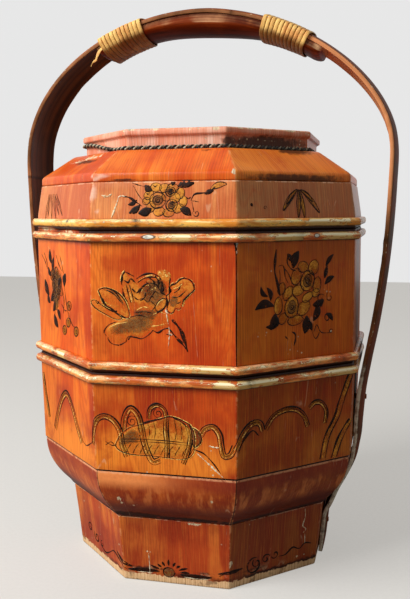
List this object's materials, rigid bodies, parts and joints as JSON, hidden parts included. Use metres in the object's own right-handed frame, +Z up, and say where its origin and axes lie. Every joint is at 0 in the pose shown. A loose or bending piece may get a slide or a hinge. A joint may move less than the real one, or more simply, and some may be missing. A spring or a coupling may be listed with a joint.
{
  "type": "lacquered food basket",
  "caption": "Eight-sided lacquered wooden food basket with stacked tiers, a roof-shaped lid and a fixed bamboo arch handle.",
  "frame": {"origin": "on the floor, under the middle of the foot", "axes": "+Z up; -Y is the front face; the handle spans from left (-X) to right (+X)"},
  "size_m": [0.3661, 0.3104, 0.523],
  "materials": {
    "wall_lacquer": "worn glossy orange-red lacquer over vertical grain, painted in gold and black",
    "lid_lacquer": "worn glossy orange lacquer, painted in gold and black",
    "moulding_lacquer": "worn glossy red-brown lacquer",
    "cane_bead": "half-round cane, ochre with chipped red-brown lacquer and bare cream spots",
    "bare_wood": "plain unlacquered wood",
    "twisted_rope": "two-ply twist, black and off-white",
    "dark_bamboo": "satin dark brown lacquered bamboo",
    "grip_bamboo": "satin red-brown lacquered bamboo",
    "rattan": "satin golden split rattan"
  },
  "bodies": {
    "base": {"foot_panel_front": "wall_lacquer", "foot_panel_front_right": "wall_lacquer", "foot_panel_right": "wall_lacquer", "foot_panel_back_right": "wall_lacquer", "foot_panel_back": "wall_lacquer", "foot_panel_back_left": "wall_lacquer", "foot_panel_left": "wall_lacquer", "foot_panel_front_left": "wall_lacquer", "bottom_tier_panel_front": "wall_lacquer", "bottom_tier_panel_front_right": "wall_lacquer", "bottom_tier_panel_right": "wall_lacquer", "bottom_tier_panel_back_right": "wall_lacquer", "bottom_tier_panel_back": "wall_lacquer", "bottom_tier_panel_back_left": "wall_lacquer", "bottom_tier_panel_left": "wall_lacquer", "bottom_tier_panel_front_left": "wall_lacquer", "bottom_tier_moulding": "moulding_lacquer", "bottom_tier_floor": "bare_wood", "bottom_tier_rim_bead": "cane_bead", "bottom_tier_tongue": "bare_wood", "handle_strap": "dark_bamboo", "handle_grip": "grip_bamboo", "handle_winding_left": "rattan", "handle_winding_right": "rattan", "foot_peg_right": "dark_bamboo", "foot_peg_left": "dark_bamboo", "wall_peg_right": "dark_bamboo", "wall_peg_left": "dark_bamboo"},
    "middle_tier": {"middle_tier_panel_front": "wall_lacquer", "middle_tier_panel_front_right": "wall_lacquer", "middle_tier_panel_right": "wall_lacquer", "middle_tier_panel_back_right": "wall_lacquer", "middle_tier_panel_back": "wall_lacquer", "middle_tier_panel_back_left": "wall_lacquer", "middle_tier_panel_left": "wall_lacquer", "middle_tier_panel_front_left": "wall_lacquer", "middle_tier_floor": "bare_wood", "middle_tier_bottom_bead": "cane_bead", "middle_tier_top_bead": "cane_bead", "middle_tier_tongue": "bare_wood"},
    "lid": {"lid_wall_panel_front": "lid_lacquer", "lid_wall_panel_front_right": "lid_lacquer", "lid_wall_panel_right": "lid_lacquer", "lid_wall_panel_back_right": "lid_lacquer", "lid_wall_panel_back": "lid_lacquer", "lid_wall_panel_back_left": "lid_lacquer", "lid_wall_panel_left": "lid_lacquer", "lid_wall_panel_front_left": "lid_lacquer", "lid_roof_panel_front": "lid_lacquer", "lid_roof_panel_front_right": "lid_lacquer", "lid_roof_panel_right": "lid_lacquer", "lid_roof_panel_back_right": "lid_lacquer", "lid_roof_panel_back": "lid_lacquer", "lid_roof_panel_back_left": "lid_lacquer", "lid_roof_panel_left": "lid_lacquer", "lid_roof_panel_front_left": "lid_lacquer", "lid_bead": "cane_bead", "lid_collar": "lid_lacquer", "lid_top_board": "lid_lacquer", "lid_rope": "twisted_rope"}
  },
  "joints": [
    {"name": "middle_tier_lift", "type": "slide", "parent": "base", "child": "middle_tier", "axis": [0, 0, 1], "range_m": [0, 0.028]},
    {"name": "lid_lift", "type": "slide", "parent": "middle_tier", "child": "lid", "axis": [0, 0, 1], "range_m": [0, 0.036]}
  ]
}
